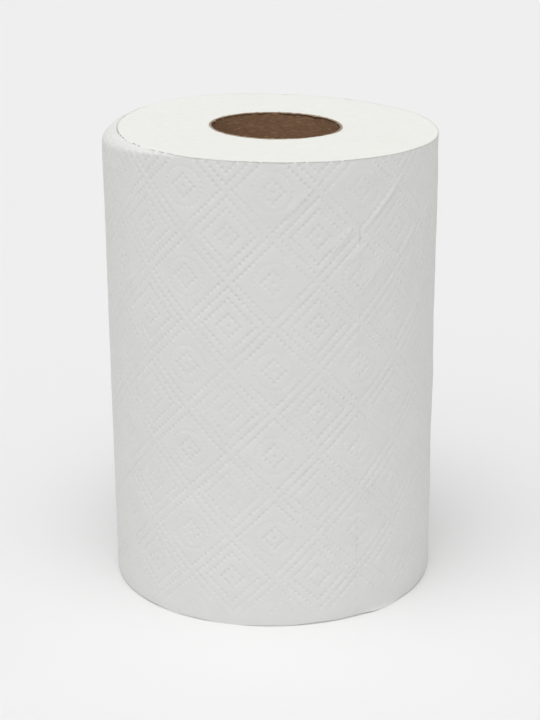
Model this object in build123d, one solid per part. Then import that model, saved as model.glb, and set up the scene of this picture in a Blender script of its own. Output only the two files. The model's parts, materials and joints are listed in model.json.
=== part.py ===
from build123d import *
import math
import os

# A kitchen roll: a paperboard core tube with a long perforated web of embossed two-ply paper wound on
# it. The origin is on the core's axis, in the plane that the roll stands on. +Z runs up the axis.

# Core tube
core_bore_radius = 27.8
core_wall = 0.8

# Wound web
roll_height = 203.0          # width of the web, measured along the core's axis
roll_radius = 72.0           # mean outside radius under the outermost end of the web
turn_pitch = 0.38            # radial growth of one turn of lofty embossed web
tail_angle = 61.0            # where the outermost end of the web lies, from +X, in degrees
wound_offset = -2.5          # the squeezed roll sits this far off the core's axis, along X
lobe_height = 0.7            # departure of the squeezed roll from round
lobe_count = 3
lobe_angle = 30.0            # direction of one of the flattened sides, in degrees

# Ends
end_skew_angle = 1.33        # the upper end is cut this much out of square, high at -X
shoulder_radius = 5.0        # rounding of the crushed upper edge at -X
shoulder_eccentricity = 6.5  # how quickly the crushing fades out around the edge
shoulder_margin = 0.3        # room between the rounding envelope and the uncrushed side

# Construction
spiral_points = 48           # points of the curve along the outermost turn
cut_margin = 20.0            # how far construction solids reach past the roll

core_outer_radius = core_bore_radius + core_wall
blank_height = roll_height + cut_margin


def turn_radius(angle):
    """Radius of the outermost turn, measured from the roll's own centre, at an angle from +X."""
    wound_back = (tail_angle - angle) / 360.0
    lobe = lobe_height * math.cos(math.radians(lobe_count * (angle - lobe_angle)))
    return roll_radius - turn_pitch * wound_back - lobe


def turn_point(angle):
    """Point on the outermost turn at an angle from +X."""
    radius = turn_radius(angle)
    direction = math.radians(angle)
    return (wound_offset + radius * math.cos(direction), radius * math.sin(direction))


def end_cutter(height):
    """Everything above the skewed plane that the saw leaves as the roll's upper end."""
    side = 4.0 * roll_radius
    block = Box(side, side, side, align=(Align.CENTER, Align.CENTER, Align.MIN))
    return Pos(0, 0, height) * Rot(0, end_skew_angle, 0) * block


def crushed_envelope():
    """A wider round blank, off centre towards +X, whose rounded upper edge meets the roll only at -X."""
    radius = roll_radius + shoulder_eccentricity + shoulder_margin
    blank = Cylinder(radius, blank_height + cut_margin, align=(Align.CENTER, Align.CENTER, Align.MIN))
    blank = Pos(wound_offset + shoulder_eccentricity, 0, -cut_margin) * blank
    blank = blank - end_cutter(roll_height)
    upper_edge = blank.faces().sort_by(Axis.Z)[-1].outer_wire().edges()
    return fillet(upper_edge, shoulder_radius)


def wound_section():
    """Section of the wound web: one spiral turn outside, with its step at the tail, round the core."""
    step = 360.0 / spiral_points
    points = [turn_point(tail_angle - step * index) for index in range(spiral_points + 1)]
    turn = Spline(*points)
    tail_step = Line(points[-1], points[0])
    return make_face([turn, tail_step]) - Circle(core_outer_radius)


def make_core_tube():
    """Paperboard tube, cut flush with the web at both ends."""
    section = Circle(core_outer_radius) - Circle(core_bore_radius)
    return extrude(section, blank_height) - end_cutter(roll_height)


def make_paper_roll():
    """The whole wound web as one hollow solid, standing on its lower end."""
    blank = extrude(wound_section(), blank_height)
    return blank & crushed_envelope()


os.makedirs("parts", exist_ok=True)
export_step(make_core_tube(), "parts/core_tube.step")
export_step(make_paper_roll(), "parts/paper_roll.step")
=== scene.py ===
import json
import math

import bpy
import numpy as np
from mathutils import Matrix, Vector


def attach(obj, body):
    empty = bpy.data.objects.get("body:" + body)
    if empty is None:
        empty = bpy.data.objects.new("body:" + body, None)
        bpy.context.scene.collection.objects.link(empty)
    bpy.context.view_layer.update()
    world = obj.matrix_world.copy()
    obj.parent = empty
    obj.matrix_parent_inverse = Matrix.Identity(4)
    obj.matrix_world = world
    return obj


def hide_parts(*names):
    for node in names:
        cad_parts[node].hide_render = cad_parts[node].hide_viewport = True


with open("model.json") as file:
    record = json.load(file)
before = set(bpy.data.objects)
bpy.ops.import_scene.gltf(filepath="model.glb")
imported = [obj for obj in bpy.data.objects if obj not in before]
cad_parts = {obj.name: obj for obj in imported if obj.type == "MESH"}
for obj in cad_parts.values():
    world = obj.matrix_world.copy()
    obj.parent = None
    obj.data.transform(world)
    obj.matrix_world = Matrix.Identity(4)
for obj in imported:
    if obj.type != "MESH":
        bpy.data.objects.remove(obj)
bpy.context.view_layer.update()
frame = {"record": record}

# A kitchen roll standing on its end. Geometry is worked out in millimetres and turned into metres
# when a mesh is made. Angles are in degrees from +X, counter-clockwise seen from above.
METRES = 0.001

# ---------------------------------------------------------------- sizes that follow the CAD frame
core_bore = next(m for m in frame["record"]["mounts"] if m["name"] == "core_bore")
web_width = core_bore["dims"]["length_mm"]
bore_radius = core_bore["dims"]["r_mm"]
core_wall = 0.8
roll_radius = 72.0
turn_pitch = 0.38
tail_angle = 61.0
wound_offset = -2.5
lobe_height = 0.7
lobe_count = 3
lobe_angle = 30.0
end_skew = math.tan(math.radians(1.33))

# ---------------------------------------------------------------- the web and its embossing
steps_per_sheet = 94          # embossing steps between two perforations
steps_per_web = 125           # embossing steps across the web
steps_per_repeat = 23         # the pattern repeats every 23 steps both ways
cells_per_step = 4            # mesh rows and columns in one embossing step
sheet_length = 152.4
sheet_count = 3               # sheets in the outermost turn
step_along = sheet_length / steps_per_sheet
step_across = web_width / steps_per_web
web_thickness = 0.36
emboss_loft = 0.35            # the embossed web is this much thicker away from its edges
square_column = 105           # steps from the tail to the first column of square figures
square_row = 14               # steps from the lower edge to the first row of square figures


def unit(values):
    """Vectors scaled to length one."""
    return values / np.linalg.norm(values, axis=-1, keepdims=True)


def smooth_step(low, high, x):
    """0 below low, 1 above high, smooth between."""
    t = np.clip((x - low) / (high - low), 0.0, 1.0)
    return t * t * (3.0 - 2.0 * t)


def waves(x, y, size, seed, count=14):
    """Smooth random height field of about unit spread, with features of the given size."""
    random = np.random.default_rng(seed)
    total = np.zeros_like(x)
    for _ in range(count):
        heading = random.uniform(0.0, 2.0 * math.pi)
        length = size * random.uniform(0.7, 1.6)
        phase = random.uniform(0.0, 2.0 * math.pi)
        total += np.cos(2.0 * math.pi * (x * math.cos(heading) + y * math.sin(heading)) / length + phase)
    return total * math.sqrt(2.0 / count)


# ---------------------------------------------------------------- mesh making
def new_mesh(name, points, faces, normals=None, edge_groups=()):
    """A smooth-shaded mesh object from points in millimetres and a list of arrays of faces.

    The groups of faces named in edge_groups are narrow edges, which are shaded flat.
    """
    loops = np.concatenate([f.ravel() for f in faces])
    sizes = np.concatenate([np.full(len(f), f.shape[1]) for f in faces])
    starts = np.concatenate([[0], np.cumsum(sizes)[:-1]])
    mesh = bpy.data.meshes.new(name)
    mesh.vertices.add(len(points))
    mesh.vertices.foreach_set("co", (points * METRES).astype(np.float32).ravel())
    mesh.loops.add(len(loops))
    mesh.loops.foreach_set("vertex_index", loops.astype(np.int32))
    mesh.polygons.add(len(sizes))
    mesh.polygons.foreach_set("loop_start", starts.astype(np.int32))
    mesh.update(calc_edges=True)
    mesh.validate()
    mesh.polygons.foreach_set("use_smooth", np.ones(len(mesh.polygons), bool))
    if normals is not None:
        loop_normals = []
        for k, group in enumerate(faces):
            if k in edge_groups:
                corners = points[group]
                facing = np.cross(corners[:, 1] - corners[:, 0], corners[:, -1] - corners[:, 0])
                facing += 1e-9 * normals[group[:, 0]]
                loop_normals.append(np.repeat(unit(facing), group.shape[1], axis=0))
            else:
                loop_normals.append(normals[group.ravel()])
        mesh.normals_split_custom_set(np.concatenate(loop_normals).astype(np.float32).tolist())
    piece = bpy.data.objects.new(name, mesh)
    bpy.context.scene.collection.objects.link(piece)
    return piece


def band(first_row, second_row):
    """Quads between two rows of as many vertices."""
    return np.stack([first_row[:-1], first_row[1:], second_row[1:], second_row[:-1]], axis=1)


def lofted_ring(name, rows, reverse=False):
    """A ring made of rows of points round the core, each joined to the next and the last to the first."""
    ids = np.arange(sum(len(row) for row in rows)).reshape(len(rows), -1)
    if reverse:
        ids = ids[:, ::-1]
    faces = [band(ids[k], ids[(k + 1) % len(rows)]) for k in range(len(rows))]
    return new_mesh(name, np.concatenate(rows), faces)


def strip(first_row, second_row, first_at, second_at):
    """Triangles between two rows of unequal counts, joined in order of their positions."""
    i = j = 0
    triangles = []
    while i < len(first_row) - 1 or j < len(second_row) - 1:
        take_first = j == len(second_row) - 1
        if not take_first and i < len(first_row) - 1:
            take_first = first_at[i + 1] <= second_at[j + 1]
        if take_first:
            triangles.append((first_row[i], first_row[i + 1], second_row[j]))
            i += 1
        else:
            triangles.append((first_row[i], second_row[j + 1], second_row[j]))
            j += 1
    return np.array(triangles)


# ---------------------------------------------------------------- form of the roll
shoulder_angle = 180.0        # the crushed upper edge faces -X
shoulder_spread = 76.0        # degrees each way over which it fades out
shoulder_reach = 7.0          # how far the crushed edge leans inwards
shoulder_drop = 6.5           # how far down the side it starts
shoulder_lean = math.radians(65.0)
foot_height = 5.0             # the side tucks in a little above the floor
foot_tuck = 0.3


def turn_radius(angle):
    """Outside radius of the web at an angle that runs on past a full turn, from the tail down."""
    lobe = lobe_height * np.cos(np.radians(lobe_count * (angle - lobe_angle)))
    return roll_radius - turn_pitch * (tail_angle - angle) / 360.0 - lobe


def end_height(x):
    """Height of the skewed upper end."""
    return web_width - end_skew * x


def crushing(angle):
    """How much of the crushed shoulder there is at an angle: 1 in its middle, 0 away from it."""
    away = np.abs((angle - shoulder_angle + 180.0) % 360.0 - 180.0)
    return 0.5 + 0.5 * np.cos(np.pi * np.clip(away / shoulder_spread, 0.0, 1.0))


def side_point(angle, radius, across, lift, raise_by=0.0):
    """Points on the roll's side: across runs up the web, lift is out along the surface normal."""
    heading = np.radians(angle)
    top = end_height(wound_offset + radius * np.cos(heading))
    crushed = crushing(angle)
    drop = shoulder_drop * crushed
    bent = 1.25 * drop
    from_top = web_width - across
    on_bend = np.clip(1.0 - from_top / np.maximum(bent, 1e-6), 0.0, 1.0) * (bent > 1e-3)
    lean = on_bend * shoulder_lean
    inward = shoulder_reach * crushed * (1.0 - np.cos(lean)) / (1.0 - math.cos(shoulder_lean))
    straight = across * (top - drop) / (web_width - bent)
    height = np.where(on_bend > 0.0, top - drop + drop * np.sin(lean) / math.sin(shoulder_lean), straight)
    tuck = foot_tuck * np.clip(1.0 - across / foot_height, 0.0, 1.0) ** 2
    out = radius - inward - tuck + lift * np.cos(lean)
    x = wound_offset + out * np.cos(heading)
    y = out * np.sin(heading)
    return np.stack([x, y, height + lift * np.sin(lean) + raise_by], axis=-1)


# ---------------------------------------------------------------- embossing
dot_depth = 0.40
dot_width = 0.25              # spread of a dot, in steps
groove_width = 0.30           # spread of the groove along a row of dots, in steps
groove_depth = 0.09
cross_groove_depth = 0.015    # rows that lean the other way are hardly drawn in
ring_radius = 5.0             # ring of the round figures, in steps
ring_dots = 24
square_rings = (0, 3, 7, 10)
round_rings = (0, 3, 10)


def dots(along, across, rings, offset):
    """Sum of the dots near each point, for figures whose centres lie at offset in every repeat."""
    half = steps_per_repeat // 2
    a = along - offset
    b = across - offset
    near_a = np.round(a)
    near_b = np.round(b)
    total = np.zeros_like(a)
    for shift_a in (-1, 0, 1):
        for shift_b in (-1, 0, 1):
            i = near_a + shift_a
            j = near_b + shift_b
            ring = np.abs((i + half) % steps_per_repeat - half) + np.abs((j + half) % steps_per_repeat - half)
            there = np.isin(ring, rings)
            distance = (a - i) ** 2 + (b - j) ** 2
            total += there * np.exp(-distance / (2.0 * dot_width ** 2))
    return total


def grooves(along, across, rings, offset):
    """Soft grooves that join the dots of each ring, deep on the rows that lean one way."""
    middle = steps_per_repeat / 2.0
    a = (along - offset + middle) % steps_per_repeat - middle
    b = (across - offset + middle) % steps_per_repeat - middle
    spread = np.abs(a) + np.abs(b)
    leaning = smooth_step(-0.6, 0.6, a * b / np.maximum(spread, 1.0))
    depth = cross_groove_depth + (groove_depth - cross_groove_depth) * leaning
    total = np.zeros_like(a)
    for ring in rings:
        if ring > 0:
            total += np.exp(-((spread - ring) / math.sqrt(2.0)) ** 2 / (2.0 * groove_width ** 2))
    return total * depth * (spread < middle)


def ring_marks(along, across):
    """Ring of dashes inside each round figure."""
    middle = steps_per_repeat / 2.0
    a = along % steps_per_repeat - middle
    b = across % steps_per_repeat - middle
    radius = np.hypot(a, b)
    dashes = 0.55 + 0.45 * np.cos(ring_dots * np.arctan2(b, a))
    return dashes * np.exp(-((radius - ring_radius) ** 2) / (2.0 * dot_width ** 2))


# Creases where the outermost turn has been pushed along the rows: centre as the angle to the right
# of the front and the height, length and width in millimetres, and how far they stand out.
creases = (
    (9.5, 186.0, 14.0, 1.3, 0.40),
    (23.5, 170.0, 12.0, 1.1, 0.55),
    (39.5, 183.5, 22.0, 1.4, 0.50),
    (34.0, 152.0, 14.0, 1.2, 0.35),
    (30.0, 165.0, 10.0, 1.1, 0.25),
    (52.0, 166.0, 16.0, 1.5, 0.25),
)


def crease_lift(along, height):
    """Raised creases that run up to the right at 45 degrees, steep below and soft above."""
    total = np.zeros_like(along)
    for right_of_front, centre_height, length, width, lift in creases:
        centre_along = math.radians(tail_angle + 90.0 - right_of_front) * roll_radius
        to_right = centre_along - along
        up = height - centre_height
        lengthwise = (to_right + up) / math.sqrt(2.0)
        sideways = (up - to_right) / math.sqrt(2.0)
        side_width = np.where(sideways < 0.0, 0.6 * width, 1.8 * width)
        shape = np.exp(-(sideways / side_width) ** 2) * np.exp(-(2.0 * lengthwise / length) ** 4)
        total += lift * shape
    return total


def puffiness(along, height):
    """Slack of the outermost turn, which lies tight against the turns below at both of its edges."""
    tight = smooth_step(0.0, 9.0, height) * smooth_step(web_width, web_width - 9.0, height)
    return 0.10 * waves(along, height, 60.0, seed=5) * tight


def relief(along, height):
    """How far the web's outer face stands out of its mean surface, in millimetres."""
    a = along / step_along - square_column
    b = height / step_across - square_row
    pressed = 0.95 + 0.12 * waves(along, height, 38.0, seed=3) + 0.08 * waves(along, height, 11.0, seed=4)
    pressed = np.clip(pressed, 0.4, 1.4) * (0.35 + 0.65 * smooth_step(2.0, 16.0, height))
    pattern = dot_depth * dots(a, b, square_rings, 0.0)
    pattern += dot_depth * dots(a, b, round_rings, steps_per_repeat / 2.0)
    pattern += 0.6 * dot_depth * ring_marks(a, b)
    pattern += grooves(a, b, square_rings, 0.0)
    pattern += grooves(a, b, round_rings, steps_per_repeat / 2.0)
    puff = puffiness(along, height) + 0.035 * waves(along, height, 14.0, seed=6)
    crumple = 0.012 * waves(along, height, 4.0, seed=7)
    return puff + crumple + crease_lift(along, height) - pressed * pattern


# ---------------------------------------------------------------- the sheets of the outermost turn
lifted_from = 127.0           # the lower edge curls out between these distances from the tail
lifted_to = 149.0
lifted_by = 0.9
lifted_height = 1.3
lifted_fade = 6.0             # length over which the lifted lip starts and ends
edge_depth = 2.5              # how far from the edges their waviness reaches
tail_lifted_by = 0.5          # the free end of the web lifts a little over this length
tail_length = 5.0
slit_rows = 5                 # mesh rows in one perforation slit
slit_pitch_rows = 10
first_slit_row = 3            # where the row of slits starts at the lower edge
slits_close_between = (0.40, 0.55)    # shares of the web's width over which the slits close up
slit_opening = 0.12
edge_overlap = 0.03           # bonded edges run this far past each other


def lip_curl(along, height):
    """How far the lifted lip of the lower edge curls out."""
    start = smooth_step(lifted_from, lifted_from + lifted_fade, along)
    end = smooth_step(lifted_to, lifted_to - lifted_fade, along)
    return lifted_by * (start * end) * np.exp(-height / lifted_height)


def edge_rise(along, height):
    """How far the wavy lower edge and the upper edge stray from level."""
    level = along * 0.0
    lower = np.exp(-height / edge_depth) * (0.30 + 0.16 * waves(along, level, 17.0, seed=9))
    upper = np.exp((height - web_width) / edge_depth) * (0.05 * waves(along, level, 21.0, seed=10) - 0.10)
    return lower + upper


def sheet_surface(along, height):
    """The displaced outer face of the outermost turn."""
    angle = tail_angle - np.degrees(along / roll_radius)
    tail_lift = tail_lifted_by * np.exp(-along / tail_length)
    tail_lift = tail_lift * (1.0 + 0.5 * waves(height, along * 0.0, 50.0, seed=8))
    lift = relief(along, height) + lip_curl(along, height) + tail_lift
    return side_point(angle, turn_radius(angle), height, lift, edge_rise(along, height))


def surface_normals(along, height):
    """Normals of the displaced face, from its slopes both ways."""
    near = 0.05
    slope_along = sheet_surface(along + near, height) - sheet_surface(along - near, height)
    slope_across = sheet_surface(along, height + near) - sheet_surface(along, height - near)
    return unit(np.cross(slope_across, slope_along))


def slit_edge(rows):
    """How far the web draws back from a perforation in each row, more so lower down."""
    in_slit = ((rows + first_slit_row) % slit_pitch_rows) < slit_rows
    tightness = 1.0 - smooth_step(*slits_close_between, rows / rows.max())
    return slit_opening * in_slit * tightness


def make_sheet(index):
    """One sheet of the outermost turn, as a thin closed piece embossed on its outer face."""
    columns = steps_per_sheet * cells_per_step
    rows = steps_per_web * cells_per_step
    cell_along = step_along / cells_per_step
    cell_across = step_across / cells_per_step
    start = index * sheet_length

    columns_of_row = []
    for row in range(rows + 1):
        middle = np.arange(row % 2, columns + 1, 2)
        columns_of_row.append(np.unique(np.concatenate([[0], middle, [columns]])))
    counts = np.array([len(c) for c in columns_of_row])
    column = np.concatenate(columns_of_row)
    row = np.repeat(np.arange(rows + 1), counts)
    lookup = np.full((rows + 1, columns + 1), -1)
    lookup[row, column] = np.arange(len(column))

    along = start + column * cell_along
    height = row * cell_across
    along_edge = along.copy()
    every_row = np.arange(rows + 1)
    if index > 0:
        first = column == 0
        along_edge[first] += slit_edge(every_row)
    last = column == columns
    along_edge[last] -= slit_edge(every_row) - edge_overlap
    outer = sheet_surface(along_edge, height)
    outer_normals = surface_normals(along, height)

    # diamonds that each stand on one vertex, then the half diamonds round the rim
    low_row, low_column = np.meshgrid(np.arange(rows - 1), np.arange(1, columns), indexing="ij")
    stands = (low_row + low_column) % 2 == 0
    r, c = low_row[stands], low_column[stands]
    diamonds = np.stack([lookup[r, c], lookup[r + 1, c - 1], lookup[r + 2, c], lookup[r + 1, c + 1]], axis=1)
    c = np.arange(0, columns - 1, 2)
    foot = np.stack([lookup[0, c], lookup[1, c + 1], lookup[0, c + 2]], axis=1)
    head = np.stack([lookup[rows, c + 2], lookup[rows - 1, c + 1], lookup[rows, c]], axis=1)
    r = np.arange(0, rows - 1, 2)
    left = np.stack([lookup[r, 0], lookup[r + 1, 0], lookup[r + 2, 0], lookup[r + 1, 1]], axis=1)
    rightmost = lookup[:, columns]
    right = np.stack([rightmost[r], lookup[r + 1, columns - 1], rightmost[r + 2], rightmost[r + 1]], axis=1)
    faces = [diamonds, foot, head, left, right]

    # plain inner face, on a few rows
    near_top = web_width - np.arange(8.0, -1.0, -1.0)
    inner_rows = np.array([0.0, 2.0, 6.0, 100.0, web_width - 12.0, *near_top])
    inner_columns = np.arange(0, columns + 1, 2)
    inner_height, inner_column = np.meshgrid(inner_rows, inner_columns, indexing="ij")
    inner_along = start + inner_column.ravel() * cell_along
    inner_height = inner_height.ravel()
    inner = sheet_back(inner_along, inner_height)
    first_inner = len(outer)
    inner_ids = first_inner + np.arange(len(inner)).reshape(len(inner_rows), len(inner_columns))
    for k in range(len(inner_rows) - 1):
        faces.append(band(inner_ids[k], inner_ids[k + 1]))
    flat_from = len(faces) - 1      # the inner face's last band and the four narrow edges
    faces.append(band(lookup[0, inner_columns][::-1], inner_ids[0][::-1]))
    faces.append(band(inner_ids[-1][::-1], lookup[rows, inner_columns][::-1]))
    edge_heights = every_row * cell_across
    faces.append(strip(lookup[:, 0][::-1], inner_ids[:, 0][::-1], -edge_heights[::-1], -inner_rows[::-1]))
    faces.append(strip(lookup[:, columns], inner_ids[:, -1], edge_heights, inner_rows))

    points = np.concatenate([outer, inner])
    heading = np.radians(tail_angle - np.degrees(inner_along / roll_radius))
    inner_normals = -np.stack([np.cos(heading), np.sin(heading), 0.0 * heading], axis=-1)
    normals = np.concatenate([outer_normals, inner_normals])
    return new_mesh(f"outer_sheet_{index + 1}", points, faces, normals, range(flat_from, len(faces)))


def sheet_back(along, height):
    """The inner face of the outermost turn, which is plain."""
    angle = tail_angle - np.degrees(along / roll_radius)
    loft = emboss_loft * smooth_step(0.5, 5.0, height) * smooth_step(web_width, web_width - 3.0, height)
    lift = puffiness(along, height) + lip_curl(along, height) - web_thickness - loft
    return side_point(angle, turn_radius(angle), height, lift, edge_rise(along, height))


# ---------------------------------------------------------------- the turns under the outermost one
body_segments = 720
end_rings = 70
under_rings = 24
body_gap = 0.02
foot_clearance = 0.15         # the lower face stands this far off the floor
rim_lap = 0.30                # the upper face reaches this far over the embossed turn's edge
body_inset = 1.1              # the side stays this far below the embossed turn, out of its way


def end_relief(x, y, seed):
    """Waviness of a sawn end, where some turns stand a little proud of others."""
    angle = np.arctan2(y, x - wound_offset)
    radius = np.hypot(x - wound_offset, y)
    turns = radius / 2.6 - angle / (2.0 * math.pi) * 0.15
    bands = 0.03 * np.sin(2.0 * math.pi * turns + 2.0 * waves(x, y, 40.0, seed=seed))
    return 0.10 * waves(x, y, 48.0, seed=seed + 1) + 0.03 * waves(x, y, 7.0, seed=seed + 2) + bands


def make_wound_body():
    """All the turns under the outermost one, with a sawn face at each end.

    Its two ends meet under the last sheet, where the side steps in by one pitch and is left open.
    """
    last_angle = tail_angle - np.degrees(sheet_count * sheet_length / roll_radius)
    angle = last_angle - np.linspace(0.0, 360.0, body_segments + 1)
    level = 0.0 * angle
    outside = turn_radius(angle) - body_gap
    near_top = web_width - np.arange(9.0, 0.5, -1.0)
    side_heights = np.concatenate([[0.6, 1.5, 3.0, 8.0, 100.0, web_width - 14.0], near_top])

    heading = np.radians(angle)
    inner_x = (bore_radius + core_wall) * np.cos(heading)
    inner_y = (bore_radius + core_wall) * np.sin(heading)
    foot = side_point(angle, outside, np.zeros_like(angle), level)
    rim = side_point(angle, outside + rim_lap, np.full_like(angle, web_width), level)
    rows = []
    for k in range(under_rings + 1):
        t = k / under_rings
        x = inner_x + (foot[:, 0] - inner_x) * t
        y = inner_y + (foot[:, 1] - inner_y) * t
        z = foot_clearance + 0.5 * np.abs(end_relief(x, y, 31)) * (t < 1.0)
        rows.append(np.stack([x, y, z], axis=-1))
    for height in side_heights:
        inset = body_inset * smooth_step(0.5, 3.0, min(height, web_width - height))
        rows.append(side_point(angle, outside - inset, np.full_like(angle, height), level))
    for k in range(end_rings, -1, -1):
        t = k / end_rings
        x = inner_x + (rim[:, 0] - inner_x) * t
        y = inner_y + (rim[:, 1] - inner_y) * t
        rows.append(np.stack([x, y, end_height(x) + end_relief(x, y, 21)], axis=-1))
    return lofted_ring("wound_turns", rows, reverse=True)


# ---------------------------------------------------------------- the core tube
core_segments = 360
core_foot = 0.2               # the tube stops this far off the floor
rim_zone = 6.0                # depth below the rim that follows the skewed end
seam_turn = 1.9               # degrees that the spiral seam turns in a millimetre
seam_spread = 1.2             # its half width, in degrees
seam_height = 0.18


def make_core():
    """The paperboard tube, with a rough sawn rim and the seam of its spiral winding."""
    angle = np.linspace(0.0, 360.0, core_segments + 1)
    heading = np.radians(angle)
    outside = bore_radius + core_wall
    below_rim = np.arange(5.0, 0.3, -0.5)
    plain_heights = np.linspace(8.0, web_width - rim_zone, 60)
    inner_heights = np.concatenate([[0.3, 1.0, 3.0], plain_heights, web_width - below_rim])
    ones = np.ones_like(heading)
    top = web_width - end_skew * np.cos(heading) * bore_radius
    coarse_burr = np.clip(waves(angle, ones, 26.0, seed=42), 0.0, 2.0)
    burr = np.clip(waves(angle, ones, 9.0, seed=41) - 0.2, 0.0, 2.0) + 0.5 * coarse_burr

    def ring(radius, z):
        return np.stack([radius * np.cos(heading), radius * np.sin(heading), z], axis=-1)

    rows = [
        ring(outside * ones, core_foot * ones),
        ring(outside * ones, top + 0.05),
        ring((outside - 0.2) * ones, top + 0.15 + 0.06 * waves(angle, ones, 6.0, seed=43)),
        ring((bore_radius + 0.25) * ones, top + 0.12 + 0.08 * waves(angle, ones, 5.0, seed=44)),
        ring(bore_radius - 0.10 - 0.35 * burr, top - 0.05 - 0.15 * burr),
        ring(bore_radius - 0.05 - 0.25 * burr, top - 0.45 - 0.35 * burr),
    ]
    for height in inner_heights[::-1]:
        below = web_width - height
        seam = (angle - height * seam_turn) % 360.0
        step = seam_height * np.exp(-((seam - 180.0) / seam_spread) ** 2)
        rough = 0.04 * waves(angle, height * ones, 14.0, seed=45)
        hang = 0.10 * burr * np.exp(-below / 1.0)
        radius = bore_radius + rough + step - hang
        rows.append(ring(radius, np.where(below < rim_zone, top - below, height * ones)))
    rows.append(ring(bore_radius * ones, core_foot * ones))
    return lofted_ring("core_board", rows)


# ---------------------------------------------------------------- materials
def new_material(name):
    """A material with nodes, its tree and its surface shader."""
    material = bpy.data.materials.new(name)
    material.use_nodes = True
    tree = material.node_tree
    return material, tree, tree.nodes["Principled BSDF"]


def add_node(tree, kind, **settings):
    """A node of that kind with its inputs or properties set."""
    node = tree.nodes.new(kind)
    for key, value in settings.items():
        if key in node.inputs:
            node.inputs[key].default_value = value
        else:
            setattr(node, key, value)
    return node


def mixed_colour(tree, factor, first, second):
    """A node output that runs from one colour to the other as factor goes from 0 to 1."""
    mix = tree.nodes.new("ShaderNodeMix")
    mix.data_type = "RGBA"
    tree.links.new(factor, mix.inputs["Factor"])
    for socket, colour in (("A", first), ("B", second)):
        target = next(s for s in mix.inputs if s.name == socket and s.type == "RGBA")
        if isinstance(colour, tuple):
            target.default_value = (*colour, 1.0)
        else:
            tree.links.new(colour, target)
    return next(s for s in mix.outputs if s.type == "RGBA")


# Random tone of the side's paper, set a little darker than the cut end's paper as painted shade on the side.
side_paper_colours_with_painted_shade = (0.785, 0.788, 0.767), (0.825, 0.826, 0.806)
cut_paper_colours = (0.85, 0.855, 0.81), (0.90, 0.905, 0.865)
board_colours = (0.205, 0.112, 0.060), (0.45, 0.275, 0.158)
board_hair_colour = (0.62, 0.44, 0.29)
board_cut_colour = (0.40, 0.33, 0.26)
board_hair_leans = (38.0, -42.0)      # which way the pale hairs in the board lie, in degrees


def remapped(tree, source, low, high, top=1.0):
    """A node output that runs from 0 to top as the source goes from low to high."""
    remap = add_node(tree, "ShaderNodeMapRange")
    remap.inputs["From Min"].default_value = low
    remap.inputs["From Max"].default_value = high
    remap.inputs["To Max"].default_value = top
    tree.links.new(source, remap.inputs["Value"])
    return remap.outputs["Result"]


def paper_material():
    """Soft white two-ply paper: matte, with fine fibres, coloured a little darker than the cut end as painted
    shade.
    """
    material, tree, shader = new_material("towel_paper")
    place = add_node(tree, "ShaderNodeTexCoord")
    fibres = add_node(tree, "ShaderNodeTexNoise", Scale=1600.0, Detail=4.0, Roughness=0.65)
    mottle = add_node(tree, "ShaderNodeTexNoise", Scale=70.0, Detail=3.0, Roughness=0.6)
    for texture in (fibres, mottle):
        tree.links.new(place.outputs["Object"], texture.inputs["Vector"])
    colour = mixed_colour(tree, mottle.outputs["Fac"], *side_paper_colours_with_painted_shade)
    tree.links.new(colour, shader.inputs["Base Color"])
    bump = add_node(tree, "ShaderNodeBump", Strength=0.35, Distance=0.00012)
    tree.links.new(fibres.outputs["Fac"], bump.inputs["Height"])
    tree.links.new(bump.outputs["Normal"], shader.inputs["Normal"])
    shader.inputs["Roughness"].default_value = 0.92
    shader.inputs["Specular IOR Level"].default_value = 0.2
    return material


def end_material():
    """The cut edges of many turns, seen as a soft fibrous face with faint lines round the core."""
    material, tree, shader = new_material("towel_cut_edges")
    place = add_node(tree, "ShaderNodeTexCoord")
    fibres = add_node(tree, "ShaderNodeTexNoise", Scale=1300.0, Detail=5.0, Roughness=0.7)
    clumps = add_node(tree, "ShaderNodeTexNoise", Scale=260.0, Detail=3.0, Roughness=0.6)
    for texture in (fibres, clumps):
        tree.links.new(place.outputs["Object"], texture.inputs["Vector"])
    lines = add_node(tree, "ShaderNodeTexWave", wave_type="RINGS", rings_direction="Z")
    lines.inputs["Scale"].default_value = 0.5 * 1000.0 / 7.0
    lines.inputs["Distortion"].default_value = 3.0
    lines.inputs["Detail"].default_value = 2.0
    lines.inputs["Detail Scale"].default_value = 40.0
    tree.links.new(place.outputs["Object"], lines.inputs["Vector"])
    colour = mixed_colour(tree, clumps.outputs["Fac"], *cut_paper_colours)
    tree.links.new(colour, shader.inputs["Base Color"])
    first = add_node(tree, "ShaderNodeBump", Strength=0.3, Distance=0.0002)
    tree.links.new(lines.outputs["Fac"], first.inputs["Height"])
    second = add_node(tree, "ShaderNodeBump", Strength=0.4, Distance=0.00015)
    tree.links.new(fibres.outputs["Fac"], second.inputs["Height"])
    tree.links.new(first.outputs["Normal"], second.inputs["Normal"])
    tree.links.new(second.outputs["Normal"], shader.inputs["Normal"])
    shader.inputs["Roughness"].default_value = 0.95
    shader.inputs["Specular IOR Level"].default_value = 0.15
    return material


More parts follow.
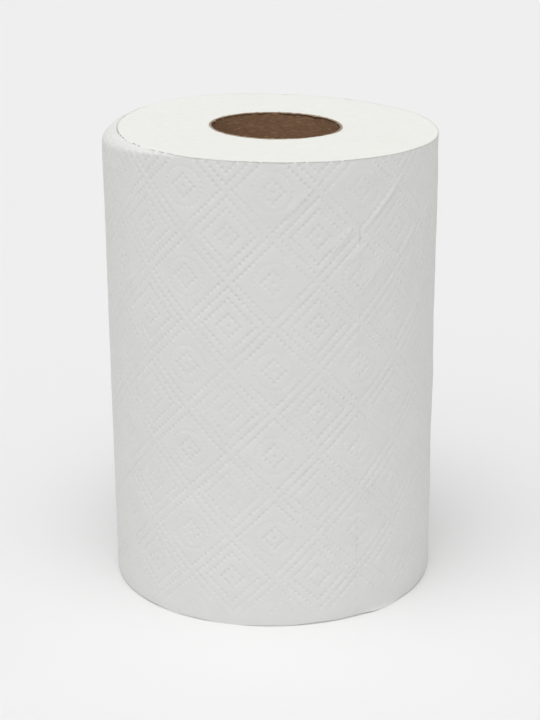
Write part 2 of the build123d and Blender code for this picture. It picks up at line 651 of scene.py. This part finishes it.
def board_material():
    """Brown recycled paperboard with short crossing fibres and pale flecks."""
    material, tree, shader = new_material("core_board")
    place = add_node(tree, "ShaderNodeTexCoord")
    blotch = add_node(tree, "ShaderNodeTexNoise", Scale=420.0, Detail=5.0, Roughness=0.7)
    tree.links.new(place.outputs["Object"], blotch.inputs["Vector"])
    ground = mixed_colour(tree, blotch.outputs["Fac"], *board_colours)
    for lean in board_hair_leans:
        turned = add_node(tree, "ShaderNodeMapping", Scale=(250.0, 250.0, 2600.0))
        turned.inputs["Rotation"].default_value = (0.0, math.radians(lean), 0.0)
        tree.links.new(place.outputs["Object"], turned.inputs["Vector"])
        hairs = add_node(tree, "ShaderNodeTexNoise", Scale=1.0, Detail=2.0, Roughness=0.5)
        tree.links.new(turned.outputs["Vector"], hairs.inputs["Vector"])
        picked = remapped(tree, hairs.outputs["Fac"], 0.60, 0.74, top=0.75)
        ground = mixed_colour(tree, picked, ground, board_hair_colour)
    cut = add_node(tree, "ShaderNodeNewGeometry")
    split = add_node(tree, "ShaderNodeSeparateXYZ")
    tree.links.new(cut.outputs["Normal"], split.inputs["Vector"])
    upward = remapped(tree, split.outputs["Z"], 0.35, 0.8)
    colour = mixed_colour(tree, upward, ground, board_cut_colour)
    tree.links.new(colour, shader.inputs["Base Color"])
    bump = add_node(tree, "ShaderNodeBump", Strength=0.6, Distance=0.0003)
    tree.links.new(blotch.outputs["Fac"], bump.inputs["Height"])
    tree.links.new(bump.outputs["Normal"], shader.inputs["Normal"])
    shader.inputs["Roughness"].default_value = 0.9
    shader.inputs["Specular IOR Level"].default_value = 0.25
    return material


# ---------------------------------------------------------------- studio
backdrop_level = 0.863
ambient_level = 0.34
# Soft lamps: name, strength, elevation, azimuth to the right of the front, angular size in degrees.
lamps = (
    ("left_key", 1.02, 62.0, -38.0, 70.0),
    ("right_key", 0.52, 62.0, 48.0, 70.0),
    ("top_key", 0.72, 80.0, -10.0, 40.0),
)
camera_lens = 86.7
camera_place = (-0.0032, -0.735, 0.3544)
camera_pitch = 19.35          # degrees below level
camera_tilt = -0.42


def make_floor():
    """A wide pale floor that keeps the soft shadow."""
    half = 6000.0                     # in millimetres, far past what the camera sees
    points = np.array([(-half, -half, 0.0), (half, -half, 0.0), (half, half, 0.0), (-half, half, 0.0)])
    floor = new_mesh("floor", points, [np.array([[0, 1, 2, 3]])])
    material, _, shader = new_material("floor")
    shader.inputs["Base Color"].default_value = (backdrop_level, backdrop_level, backdrop_level, 1.0)
    shader.inputs["Roughness"].default_value = 1.0
    shader.inputs["Specular IOR Level"].default_value = 0.0
    floor.data.materials.append(material)


def make_light(name, strength, elevation, azimuth, softness):
    """A sun lamp that shines from an elevation and an azimuth, where azimuth 0 is the front."""
    lamp = bpy.data.lights.new(name, "SUN")
    lamp.energy = strength
    lamp.angle = math.radians(softness)
    source = bpy.data.objects.new(name, lamp)
    up = math.radians(elevation)
    side = math.radians(azimuth)
    towards = Vector((math.sin(side) * math.cos(up), -math.cos(side) * math.cos(up), math.sin(up)))
    source.rotation_euler = towards.to_track_quat("Z", "Y").to_euler()
    bpy.context.scene.collection.objects.link(source)


def make_world():
    """Even light from all round, which the camera sees as the pale backdrop."""
    world = bpy.data.worlds.new("studio")
    bpy.context.scene.world = world
    world.use_nodes = True
    tree = world.node_tree
    surround = tree.nodes["Background"]
    surround.inputs["Color"].default_value = (1.0, 1.0, 1.0, 1.0)
    surround.inputs["Strength"].default_value = ambient_level
    seen = add_node(tree, "ShaderNodeBackground", Strength=backdrop_level)
    seen.inputs["Color"].default_value = (1.0, 1.0, 1.0, 1.0)
    path = add_node(tree, "ShaderNodeLightPath")
    mix = add_node(tree, "ShaderNodeMixShader")
    tree.links.new(path.outputs["Is Camera Ray"], mix.inputs["Fac"])
    tree.links.new(surround.outputs["Background"], mix.inputs[1])
    tree.links.new(seen.outputs["Background"], mix.inputs[2])
    tree.links.new(mix.outputs["Shader"], tree.nodes["World Output"].inputs["Surface"])


def make_camera():
    """The camera stands in front of the roll and looks down on it."""
    camera_data = bpy.data.cameras.new("camera")
    camera_data.lens = camera_lens
    camera_data.sensor_width = 36.0
    camera = bpy.data.objects.new("camera", camera_data)
    pitch = math.radians(camera_pitch)
    tilt = math.radians(camera_tilt)
    looking = Matrix.Rotation(math.radians(90.0) - pitch, 4, "X") @ Matrix.Rotation(tilt, 4, "Z")
    camera.matrix_world = Matrix.Translation(camera_place) @ looking
    bpy.context.scene.collection.objects.link(camera)
    bpy.context.scene.camera = camera


# ---------------------------------------------------------------- assembly
towel_paper = paper_material()
towel_cut_edges = end_material()
core_board = board_material()

for sheet_index in range(sheet_count):
    sheet = make_sheet(sheet_index)
    sheet.data.materials.append(towel_paper)
    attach(sheet, "root")
    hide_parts("paper_roll")

turns = make_wound_body()
turns.data.materials.append(towel_cut_edges)
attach(turns, "root")
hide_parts("paper_roll")

core = make_core()
core.data.materials.append(core_board)
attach(core, "root")
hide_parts("core_tube")

make_floor()
make_world()
for lamp in lamps:
    make_light(*lamp)
make_camera()
bpy.context.scene.view_settings.view_transform = "Standard"
